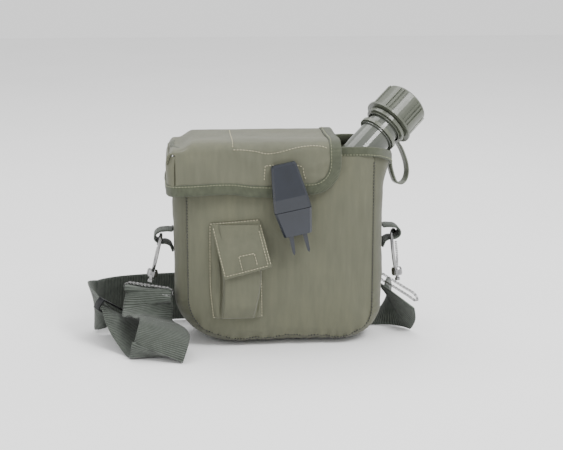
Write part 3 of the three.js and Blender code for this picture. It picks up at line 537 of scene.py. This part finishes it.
def gusset_points():
    """The side and bottom band, from the mouth's left end down, along the bottom and up the right."""
    s = SEAM
    top = 150.0
    rows = [(s["left"], z, -1.0, 0.0) for z in np.linspace(top, s["bottom"] + s["r_left"], 46)[:-1]]
    for a in np.radians(np.linspace(180, 270, 40)):
        cx, cz, r = s["left"] + s["r_left"], s["bottom"] + s["r_left"], s["r_left"]
        rows.append((cx + r * math.cos(a), cz + r * math.sin(a), math.cos(a), math.sin(a)))
    left, right = s["left"] + s["r_left"], s["right"] - s["r_right"]
    rows += [(x, s["bottom"], 0.0, -1.0) for x in np.linspace(left, right, 46)[1:-1]]
    for a in np.radians(np.linspace(270, 360, 30)):
        cx, cz, r = s["right"] - s["r_right"], s["bottom"] + s["r_right"], s["r_right"]
        rows.append((cx + r * math.cos(a), cz + r * math.sin(a), math.cos(a), math.sin(a)))
    rows += [(s["right"], z, 1.0, 0.0) for z in np.linspace(s["bottom"] + s["r_right"], top, 46)[1:]]
    rows = np.array(rows)
    w = np.linspace(0, 1, 41)
    y = (2 * w - 1) * s["y"]
    x0, z0, nx, nz = (rows[:, k, None] for k in range(4))
    bulge = BOTTOM_BULGE + (SIDE_BULGE - BOTTOM_BULGE) * nx**2
    run = np.linspace(0, 620, len(rows))[:, None]
    share = (1 - np.abs(2 * w - 1) ** 3.2)[None]
    waves = 0.8 * ripple(run, y[None], 31, 70) + 0.35 * ripple(run, y[None], 5, 26)
    soft = bulge * share + share * waves * np.abs(nx)
    from_edge = (1 - np.abs(2 * w - 1))[None] * 36
    near = np.exp(-((from_edge / 9) ** 2)) - np.exp(-((from_edge / 2) ** 2))
    soft = soft + 0.9 * near * np.sin(run * 0.5 + 1.7 * np.sin(run * 0.13)) * smooth((70 - z0) / 30)
    rise = seam_wave(x0, z0) * np.abs(2 * w - 1)[None] ** 4
    x, z = x0 + nx * soft, np.maximum(z0 + rise + nz * soft, 0.35)
    middle = np.stack([x, np.broadcast_to(y, x.shape), z], axis=-1)
    ends = []
    for line, ring in ((mouth_left(w), middle[0]), (mouth_right(w), middle[-1])):
        steps = np.linspace(1, 0, 16, endpoint=False)[:, None, None]
        ease = smooth(steps)
        straight = ring[None] * (1 - steps) + line[None] * steps
        follow = ring[None, :, :2] * (1 - ease) + line[None, :, :2] * ease
        ends.append(np.concatenate([follow, straight[..., 2:]], axis=-1))
    return np.concatenate([ends[0], middle, ends[1][::-1]])


front = big_panel("front_cloth", front_y, "front_panel", True)
back = big_panel("back_cloth", back_y, "back_panel", False)
gusset_grid = gusset_points()
gusset = grid("gusset_cloth", gusset_grid, SHADED_SIDE_CLOTH)
thicken(gusset, 2.4)
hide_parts("side_gusset", "insulating_liner")


def seam_threads():
    """The threads that show as dark holes along the front and back seams."""
    outline = seam_outline(700)
    keep = outline[(outline[:, 1] < 184)]
    start = int(np.argmax(np.hypot(*np.diff(keep, axis=0).T) > 5)) + 1
    keep = np.roll(keep, -start, axis=0) if start > 1 else keep
    for name, side in (("front", -1), ("back", 1)):
        path = np.stack([keep[:, 0], np.full(len(keep), side * (SEAM["y"] + 0.25)), keep[:, 1]], axis=-1)
        normal = np.stack(
            [(keep[:, 0]) * 0.003, np.full(len(keep), side * 1.0), (keep[:, 1] - 95) * 0.003], axis=-1)
        stitches(f"seam_threads_{name}", path, normal, DARK_THREAD, pitch=2.9, share=0.6, radius=0.85)


seam_threads()

# ------------------------------------------------------------------ the tape round the mouth
def folded_tape(width, thickness):
    """The section of a tape folded over an edge, outer face towards +normal."""
    w, t = width / 2, thickness / 2
    return [
        (-w, t * 0.55), (-w * 0.94, t), (-w * 0.4, t * 1.08), (w * 0.3, t * 1.08), (w * 0.8, t),
        (w * 0.97, t * 0.55), (w, 0), (w * 0.97, -t * 0.55), (w * 0.8, -t), (w * 0.2, -t),
        (-w * 0.94, -t), (-w, -t * 0.55), (-w * 0.85, 0),
    ]


def mouth_binding():
    rows = [(-84, -36.5, RIM), (-30, -37.5, RIM), (40, -37.5, RIM), (90, -36.4, RIM - 1),
        (104.6, -25.4, RIM - 6), (110.2, -6, RIM - 13),
            (109.2, 14, RIM - 15), (103.6, 28.4, RIM - 9), (88, 37, RIM - 1), (40, 37.5, RIM),
            (-30, 37.5, RIM), (-84, 36.5, RIM),
            (-97.5, 20, RIM), (-100.5, 0, RIM), (-97.5, -20, RIM)]
    path = spline(rows, 300, closed=True)
    path[:, 2] += 0.35 * ripple(path[:, 0], path[:, 1], 6, 40)
    along = np.roll(path, -1, axis=0) - np.roll(path, 1, axis=0)
    along /= np.linalg.norm(along, axis=1)[:, None]
    outward = np.cross(along, (0, 0, 1.0))
    outward /= np.linalg.norm(outward, axis=1)[:, None]
    up = np.cross(outward, along)
    tape = sweep("mouth_tape", path, up, outward, folded_tape(9.2, 3.6), TAPE, closed=True)
    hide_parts("mouth_binding")
    edge = path - up * 3.0 + outward * 1.95
    loop = np.vstack([edge, edge[:1]])
    stitches("mouth_tape_threads", loop, np.vstack([outward, outward[:1]]), PALE_THREAD)


mouth_binding()

# ------------------------------------------------------------------ neck, cap and tether
dress("canteen_body", VINYL, 0.5)
dress("screw_cap", CAP, 0.45)
dress("cap_seal", RUBBER, 0.3)
dress("tether_neck_ring", TETHER, 0.7)
dress("tether_cap_ring", TETHER, 0.7)

TETHER_ROWS = [(19.6, 0.2), (24.5, -0.8), (30, -4.2), (38, -8.4), (47, -11.5), (54, -12.5), (59.5, -9.5),
    (61, -3.5), (57.5, 3), (50, 8),
               (40, 11.2), (30, 12.9), (21.2, 12.7)]


def tether_band():
    """The soft loop from the neck's ring to the cap's ring."""
    centre, axis = np.array([100.5, 10, 200]), np.array([0.687, 0.384, 0.616])
    axis /= np.linalg.norm(axis)
    down = np.array([0, 0, -1.0]) + axis * axis[2]
    down /= np.linalg.norm(down)
    side = np.cross(axis, down)
    line = spline([(r, 0, a) for r, a in TETHER_ROWS], 90)
    path = centre + line[:, :1] * down + line[:, 2:] * axis
    across = np.broadcast_to(side, path.shape)
    along = np.gradient(path, axis=0)
    along /= np.linalg.norm(along, axis=1)[:, None]
    section = rounded_strip(7.2, 1.8)
    band = sweep("tether_loop", path, across, np.cross(along, across), section, TETHER, body=None)
    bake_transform(band)
    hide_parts("tether_band")


tether_band()

# ------------------------------------------------------------------ the flap
FLAP_PROFILE = [(39.2, 200.6), (37, 202.2), (30, 203.0), (8, 202.6), (-16, 202.6), (-34, 202.6),
    (-42, 200.8), (-47, 196.2),
                (-49.0, 188), (-49.6, 176), (-49.8, 165), (-50.0, 150)]


def flap_profile():
    line = spline([(0, y, z) for y, z in FLAP_PROFILE], 400)[:, 1:]
    length = np.concatenate([[0], np.cumsum(np.hypot(*np.diff(line, axis=0).T))])
    return line, length


FLAP_LINE, FLAP_LENGTH = flap_profile()
FLAP_CREASES = (
    ((24, 176), (48, 186), 3.5, 1.1),
    ((24, 168), (52, 170), 3.0, 0.9),
    ((26, 162), (44, 160), 3.0, 0.8),
    ((-24, 182), (-44, 196), 5.0, 0.9),
    ((-26, 168), (-60, 164), 5.0, 0.7),
    ((-84, 190), (-78, 160), 5.0, 0.8),
    ((8, 192), (34, 198), 4.0, 0.8),
)


def flap_point(x, s):
    """A point of the flap at x, s millimetres along it from the back edge, and its outward normal."""
    x, s = np.broadcast_arrays(np.asarray(x, float), np.asarray(s, float))
    y = np.interp(s, FLAP_LENGTH, FLAP_LINE[:, 0])
    z = np.interp(s, FLAP_LENGTH, FLAP_LINE[:, 1])
    ahead = s + 1.0
    dy = np.interp(ahead, FLAP_LENGTH, FLAP_LINE[:, 0]) - np.interp(s - 1.0, FLAP_LENGTH, FLAP_LINE[:, 0])
    dz = np.interp(ahead, FLAP_LENGTH, FLAP_LINE[:, 1]) - np.interp(s - 1.0, FLAP_LENGTH, FLAP_LINE[:, 1])
    size = np.maximum(np.hypot(dy, dz), 1e-6)
    ny, nz = dz / size, -dy / size
    lift = 0.5 * ripple(x, s, 12, 60) + 0.25 * ripple(x, s, 14, 22)
    for start, end, width, height in FLAP_CREASES:
        lift = lift + crease(x, z, start, end, width, height) * (y < -40)
    lift = lift - 1.1 * np.exp(-(((s - 45) / 34) ** 2)) * (0.6 + 0.4 * np.sin(x * 0.05))
    lift = lift * smooth(s / 12)
    drop = (7 * smooth((-80 - x) / 15) + 12 * np.clip((-99 - x) / 7.6, 0, 1) ** 2) * smooth((y + 50) / 8)
    return np.stack([x, y + ny * lift, z + nz * lift - drop], axis=-1), np.stack([x * 0, ny, nz], axis=-1)


def s_at(z):
    """How far down the flap a height on its front lies."""
    front = FLAP_LINE[:, 0] < -44
    return np.interp(-np.asarray(z, float), -FLAP_LINE[front, 1], FLAP_LENGTH[front])


def flap_end(x):
    """How far the flap reaches at x: it ends in a round corner at the right."""
    f = FLAP
    past = np.clip(x - (f["right"] - f["corner"]), 0, f["corner"])
    z = f["bottom"] + f["corner"] - np.sqrt(f["corner"] ** 2 - past**2 + 1e-9)
    return s_at(z)


def flap_sheet():
    u = np.concatenate([np.linspace(0, 0.9, 130), 1 - 0.1 * np.linspace(1, 0, 26)[1:] ** 1.6])[:, None]
    t = np.linspace(0, 1, 110)[None, :]
    left = -106.6 + 8.4 * smooth((t * FLAP_LENGTH[-1] - 92) / 8)
    x = left + (FLAP["right"] - left) * u
    points, _ = flap_point(x, t * flap_end(x))
    sheet = grid("flap_cloth", points, LIT_FLAP_CLOTH, "flap")
    thicken(sheet, 1.6)
    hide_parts("flap_panel")


def wing_point(p, z):
    """The flap's left side: p runs back from the front corner, in millimetres."""
    corner = [
        (-97.5, -46.4, 0), (-99.6, -48.6, 0), (-103.6, -45.6, 0), (-106.2, -38, 0),
        (-107, -20, 0), (-107, 10, 0), (-106.6, 34, 0),
    ]
    plan = spline(corner, 200)
    length = np.concatenate([[0], np.cumsum(np.linalg.norm(np.diff(plan, axis=0), axis=1))])
    p, z = np.broadcast_arrays(np.asarray(p, float), np.asarray(z, float))
    x = np.interp(p, length, plan[:, 0])
    y = np.interp(p, length, plan[:, 1])
    x = x + 1.5 * smooth((z - 180) / 10) + 0.7 * ripple(p, z, 17, 45) * smooth((190 - z) / 12)
    return np.stack([x, y, z], axis=-1)


WING_LENGTH = 92.0


def flap_wing():
    p = np.linspace(0, WING_LENGTH, 70)
    z = np.linspace(190, FLAP["bottom"] + 0.5, 40)
    points = wing_point(p[:, None], z[None, :])
    wing = grid("flap_wing_cloth", points, LIT_FLAP_CLOTH, "flap", flip=True)
    thicken(wing, 1.5)
    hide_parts("flap_side_panel")
    return wing


def flap_tape():
    """The tape along the flap's lower edge, round its corner and back over the top."""
    f = FLAP
    p = np.linspace(WING_LENGTH, 6, 60)
    side = wing_point(p, np.full(60, f["bottom"]))
    side_out = np.gradient(side, axis=0)
    side_out = np.stack([side_out[:, 1], -side_out[:, 0], side_out[:, 2] * 0], axis=-1)
    bottom_x = np.linspace(-97, f["right"] - f["corner"], 100)
    low, low_out = flap_point(bottom_x, flap_end(bottom_x))
    turn = np.linspace(0, math.pi / 2, 30)[1:]
    corner_x = f["right"] - f["corner"] + f["corner"] * np.sin(turn)
    corner, corner_out = flap_point(corner_x, s_at(f["bottom"] + f["corner"] * (1 - np.cos(turn))))
    up_s = np.linspace(float(s_at(f["bottom"] + f["corner"])), 3, 90)[1:]
    edge, edge_out = flap_point(np.full(89, f["right"]), up_s)
    path = np.vstack([side, low, corner, edge])
    out = np.vstack([side_out, low_out, corner_out, edge_out])
    places = (-103, -79, -56, -43, -28, -9, 20, 40)
    waves = (0, 0.7, 1.9, 1.6, -0.7, -1.8, 0.6, 0)
    path[:, 2] += np.interp(path[:, 0], places, waves) * (path[:, 2] < 170)
    keep = np.concatenate([[True], np.linalg.norm(np.diff(path, axis=0), axis=1) > 0.2])
    path, out = path[keep], out[keep]
    for _ in range(6):
        out[1:-1] = out[:-2] + out[1:-1] + out[2:]
        out /= np.linalg.norm(out, axis=1)[:, None]
        path[1:-1] = path[1:-1] * 0.5 + (path[:-2] + path[2:]) * 0.25
    across, normal = frames(path, out)
    tape = sweep("flap_tape", path - normal * 0.8, across, normal, folded_tape(TAPE_WIDTH, 3.6), TAPE, "flap")
    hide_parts("flap_binding")
    stitches("flap_tape_threads", path - across * 4.0 + normal * 1.1, normal, PALE_THREAD, "flap")


flap_sheet()
flap_wing()
flap_tape()


def on_flap(rows, count):
    """A line of points on the flap's front through (x, z) pairs, with normals."""
    line = spline([(x, 0, z) for x, z in rows], count)
    points, normal = flap_point(line[:, 0], s_at(line[:, 2]))
    return points + normal * 0.25, normal


def on_front(rows, count):
    line = spline([(x, 0, z) for x, z in rows], count)
    y = front_y(line[:, 0], line[:, 2])
    return np.stack([line[:, 0], y - 0.25, line[:, 2]], axis=-1), (0, -1, 0)


FLAP_SEAMS = {
    "flap_threads_wavy": [(-44.6, 195.4), (-33.6, 195), (-22.3, 193.7), (-14.4, 191.7), (-4.3, 192.3),
        (5.9, 194.5), (17.2, 196.6), (29.7, 197.5),
                          (38.7, 197.2), (45.6, 195)],
    "flap_threads_patch_left": [(-14.5, 181), (-15.4, 173.6), (-15.7, 165.2)],
    "flap_threads_patch_top": [(-14.5, 180.4), (0, 181.4), (12.7, 181), (20.7, 179)],
    "flap_threads_patch_right": [(20.7, 178.4), (21.8, 170.7), (24.5, 165)],
}
for seam, rows in FLAP_SEAMS.items():
    points, normal = on_flap(rows, 80)
    stitches(seam, points, normal, THREAD, "flap")
points, normal = flap_point(np.full(40, -44.6), np.linspace(18, float(s_at(195.6)), 40))
stitches("flap_threads_cross", points + normal * 0.25, normal, THREAD, "flap")

# ------------------------------------------------------------------ buckle
for node in ("buckle_shield", "buckle_catch"):
    dress(node, BUCKLE, 0.8)
for node in ("buckle_leg_left", "buckle_leg_right"):
    dress(node, BUCKLE, 0.5)
dress("catch_webbing", WEBBING, 0.3)
dress("shield_webbing", WEBBING, 0.2)


# ------------------------------------------------------------------ pocket
POCKET_LEFT = [(-66.9, 124), (-67.3, 95), (-67.2, 60), (-64.7, 32)]
POCKET_RIGHT = [(-18.6, 127), (-18.3, 90), (-18.0, 55), (-17.5, 32)]
PLEAT_LEFT = [(-58, 124), (-54, 69), (-54.5, 53), (-56.2, 31)]
PLEAT_RIGHT = [(-11, 124), (-16.1, 79.3), (-19.8, 62.6), (-26.1, 31)]
LID = np.array([(-66, 125), (-19.7, 127.5), (-8.9, 84.8), (-54, 73.2)])
LID_FACE = -57.3


def edge_x(rows, z):
    """Where a line of (x, z) points lies at a height."""
    rows = np.array(rows)[::-1]
    return np.interp(z, rows[:, 1], rows[:, 0])


def pouch():
    z = np.linspace(32, 124, 70)[None, :]
    left, right = edge_x(POCKET_LEFT, z), edge_x(POCKET_RIGHT, z)
    x = left + (right - left) * np.linspace(0, 1, 80)[:, None]
    z = np.broadcast_to(z, x.shape)
    from_left = x - np.maximum(edge_x(PLEAT_LEFT, z), left + 1)
    from_right = np.minimum(edge_x(PLEAT_RIGHT, z), right - 0.4) - x
    low = smooth((z - 30) / 16)
    side = 1.2 + 2.2 * smooth((x - left) / 5) * smooth((right - x) / 3)
    front = 6.2 * smooth(from_left / 2.2 + 0.5) * smooth(from_right / 2.2 + 0.5)
    front = front - 1.6 * np.exp(-((from_left + 1.6) / 1.2) ** 2)
    front = front - 1.6 * np.exp(-((from_right + 1.6) / 1.2) ** 2)
    under_lid = 0.2 + 0.8 * smooth((126 - z) / 26)
    out = side + (front + 0.5 * ripple(x, z, 3, 26)) * (0.25 + 0.75 * low) * under_lid
    piece = grid("pocket_cloth", np.stack([x, front_y(x, z) - out, z], axis=-1), CLOTH, flip=True)
    thicken(piece, 1.2)
    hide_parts("pocket_body")


def lid_point(u, v):
    """A point of the pocket's lid: u from its left to its right edge, v down from its hinge."""
    u, v = np.broadcast_arrays(np.asarray(u, float), np.asarray(v, float))
    a, b, c, d = LID
    shares = ((1 - u) * (1 - v), u * (1 - v), u * v, (1 - u) * v)
    near_side = a * shares[0][..., None] + b * shares[1][..., None]
    flat = near_side + c * shares[2][..., None] + d * shares[3][..., None]
    x, z = flat[..., 0], flat[..., 1]
    drop = smooth(v * 1.5)
    y = (front_y(x, z) - 2.2) * (1 - drop) + LID_FACE * drop
    fold = 0.9 * np.exp(-(((v - 0.55) / 0.2) ** 2))
    y = y - (0.6 + 0.5 * ripple(x, z, 8, 24)) * drop - fold + 0.8 * drop * (u - 0.5) ** 2
    return np.stack([x, y, z], axis=-1)


def pocket_lid():
    share = np.linspace(0, 1, 44)
    lid = grid("pocket_lid_cloth", lid_point(share[:, None], share[None, :]), CLOTH, body=None)
    thicken(lid, 1.5)
    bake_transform(lid)
    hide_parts("pocket_flap")
    rows = {
        "pocket_lid_threads_right": [(0.93, 0.08), (0.93, 0.95)],
        "pocket_lid_threads_edge": [(0.985, 0.08), (0.985, 0.97)],
        "pocket_lid_threads_left": [(0.03, 0.08), (0.03, 0.95)],
        "pocket_lid_threads_low": [(0.05, 0.945), (0.95, 0.945)],
        "pocket_patch_threads_top": [(0.40, 0.62), (0.72, 0.615)],
        "pocket_patch_threads_left": [(0.40, 0.62), (0.40, 0.92)],
        "pocket_patch_threads_right": [(0.72, 0.62), (0.72, 0.92)],
    }
    for name, ((u0, v0), (u1, v1)) in rows.items():
        t = np.linspace(0, 1, 60)
        line = lid_point(u0 + (u1 - u0) * t, v0 + (v1 - v0) * t)
        stitches(name, line + (0, -0.2, 0), (0, -1, 0.1), THREAD, "pocket_lid")


def pocket_seams():
    for name, rows in {
        "pocket_threads_left": [(-66.6, 123), (-66.9, 95), (-66.8, 60), (-64.4, 33)],
        "pocket_threads_low": [(-65.2, 32.6), (-40, 32), (-17, 32.6)],
        "pocket_threads_right": [(-17.9, 32), (-18.2, 55), (-18.4, 80)],
        "pocket_threads_top": [(-67, 124.4), (-40, 126.6), (-19, 128.2)],
    }.items():
        line, normal = on_front(rows, 80)
        line[:, 1] -= 1.6
        stitches(name, line, normal, THREAD)


pouch()
pocket_lid()
pocket_seams()
dress("pocket_hook_patch", WEBBING, 0.1)
dress("pocket_loop_patch", WEBBING, 0.1)

# ------------------------------------------------------------------ side loops and hooks
LOOP_ROWS = [(101.9, 112), (102.6, 110.5), (106, 110.8), (110, 110.6), (114.6, 110), (119, 106.4),
    (118.9, 101.6), (114.5, 98.6),
             (108.5, 98.2), (104.6, 96), (102.8, 92), (101.9, 90)]


def side_loop(name, side, shift):
    line = spline([(side * (x + shift), 0, z) for x, z in LOOP_ROWS], 70)
    across = np.broadcast_to(np.array([0.0, 1.0, 0.0]), line.shape)
    along = np.gradient(line, axis=0)
    along /= np.linalg.norm(along, axis=1)[:, None]
    loop = sweep(name, line, across, np.cross(across, along), rounded_strip(20, 1.8), WEBBING)
    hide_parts(name.replace("webbing_", ""))


side_loop("webbing_side_loop_left", -1, 0.0)
side_loop("webbing_side_loop_right", 1, 2.4)
for side in ("left", "right"):
    dress(f"snap_hook_{side}", STEEL)
    dress(f"snap_gate_{side}", STEEL, levels=1)
    dress(f"swivel_post_{side}", STEEL, 0.3)
    dress(f"strap_bail_{side}", STEEL, levels=1)

# ------------------------------------------------------------------ the strap
STRAP = [
    (-125.4, -9.2, 38, 0.88, -0.47, 0), (-125.3, -9.0, 48, 0.88, -0.47, 0),
    (-125.8, -10.6, 53.2, 0.88, -0.47, 0),
    (-126.5, -13.4, 53.0, 0.88, -0.47, 0), (-126.8, -15.2, 49.0, 0.88, -0.47, 0),
    (-127.8, -19.5, 39, 0.93, -0.35, -0.06), (-126, -27, 31.5, 0.93, -0.05, -0.3),
    (-120, -38, 29.5, 0.8, 0.5, -0.3), (-113, -50, 30.5, 0.85, 0.3, -0.35), (-111, -62, 28.5, 0.93, 0, -0.36),
    (-113, -72, 22, 0.94, -0.15, -0.3), (-116, -76, 13.5, 0.93, -0.25, -0.25),
    (-118, -74.5, 6.5, 0.94, -0.3, -0.16),
    (-119, -67, 2.8, 0.94, -0.3, -0.03), (-121, -57, 2.6, 0.98, -0.05, 0), (-126, -46, 4, 0.94, 0.3, 0.05),
    (-135, -33, 11, 0.88, 0.45, 0.05), (-147, -19, 21, 0.82, 0.55, -0.1), (-162, -4, 30, 0.62, 0.5, -0.6),
    (-178, 12, 31, 0.25, 0.2, -0.95),
    (-181, 29, 26.6, 0, 0, -1), (-167, 42, 25.9, 0, 0, -1),
    (-145, 50, 25.9, 0, 0, -1), (-104, 55, 25.9, 0, 0, -1), (-60, 56, 25.9, 0, 0, -1),
    (-10, 56, 25.7, 0, -0.1, -1),
    (30, 57, 24, 0, -0.35, -0.93), (56, 59, 19.5, 0.05, -0.62, -0.78), (76, 59, 11, 0.1, -0.88, -0.42),
    (96, 50, 4, 0.15, -0.98, -0.08), (112, 36, 5, 0.35, -0.93, -0.06), (122, 21, 12, 0.45, -0.87, -0.18),
    (125, 9, 24, 0.5, -0.83, -0.22), (121.5, 0, 37, 0.54, -0.79, -0.24),
]


def strap():
    line = spline(STRAP, 420)
    path = line[:, :3].copy()
    along = np.gradient(path, axis=0)
    along /= np.linalg.norm(along, axis=1)[:, None]
    across = line[:, 3:] - along * np.sum(line[:, 3:] * along, axis=1)[:, None]
    across /= np.linalg.norm(across, axis=1)[:, None]
    normal = np.cross(across, along)
    path[:, 2] = np.maximum(path[:, 2], STRAP_WIDTH / 2 * np.abs(across[:, 2]) + 1.3)
    piece = sweep("strap_webbing", path, across, normal, rounded_strip(STRAP_WIDTH, STRAP_THICK), WEBBING)
    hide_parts("shoulder_strap")


# ------------------------------------------------------------------ the back
for side in ("left", "right"):
    dress(f"belt_clip_{side}", BLACK_STEEL, 0.4)
    dress(f"clip_slide_{side}", BLACK_STEEL, 0.4)
dress("strap_adjuster", BLACK_STEEL, 0.4)
dress("clip_band", WEBBING, 0.3)


# ------------------------------------------------------------------ floor, light and camera
# Each light's name, place in metres, size in metres and power in watts.
LIGHTS = (
    ("key", (0.8, -1.0, 1.7), 0.7, 34),
    ("fill", (-1.5, -1.1, 0.8), 1.4, 6),
    ("top", (-0.1, 0.5, 1.9), 1.2, 22),
)


def studio():
    bpy.ops.mesh.primitive_plane_add(size=8, location=(0, 0, 0))
    floor = bpy.context.object
    floor.name = "floor"
    paper = Shader("floor_paper", (0.9, 0.9, 0.9), 0.9)
    greys = [(0.3, (0.89, 0.89, 0.89)), (0.7, (0.91, 0.91, 0.91))]
    paper.link("Base Color", paper.ramp(paper.noise(3, 2), greys))
    floor.data.materials.append(paper.material)
    world = bpy.data.worlds.new("studio")
    world.use_nodes = True
    world.node_tree.nodes["Background"].inputs["Color"].default_value = (1, 1, 1, 1)
    world.node_tree.nodes["Background"].inputs["Strength"].default_value = 1.2
    bpy.context.scene.world = world
    for name, place, size, power in LIGHTS:
        light = bpy.data.lights.new(name, "AREA")
        light.size = size
        light.energy = power
        lamp = bpy.data.objects.new(name, light)
        lamp.location = place
        lamp.rotation_euler = (Vector((0, 0, 0.1)) - lamp.location).to_track_quat("-Z", "Y").to_euler()
        bpy.context.collection.objects.link(lamp)


def camera():
    data = bpy.data.cameras.new("camera")
    data.lens = 78
    cam = bpy.data.objects.new("camera", data)
    azimuth, elevation, distance = math.radians(-5), math.radians(13), 1.19
    back = Vector((
        math.sin(azimuth) * math.cos(elevation),
        -math.cos(azimuth) * math.cos(elevation),
        math.sin(elevation),
    ))
    target = Vector((0.004, -0.01, 0.1145))
    cam.location = target + back * distance
    cam.rotation_euler = (-back).to_track_quat("-Z", "Y").to_euler()
    bpy.context.collection.objects.link(cam)
    bpy.context.scene.camera = cam


studio()
camera()
strap()
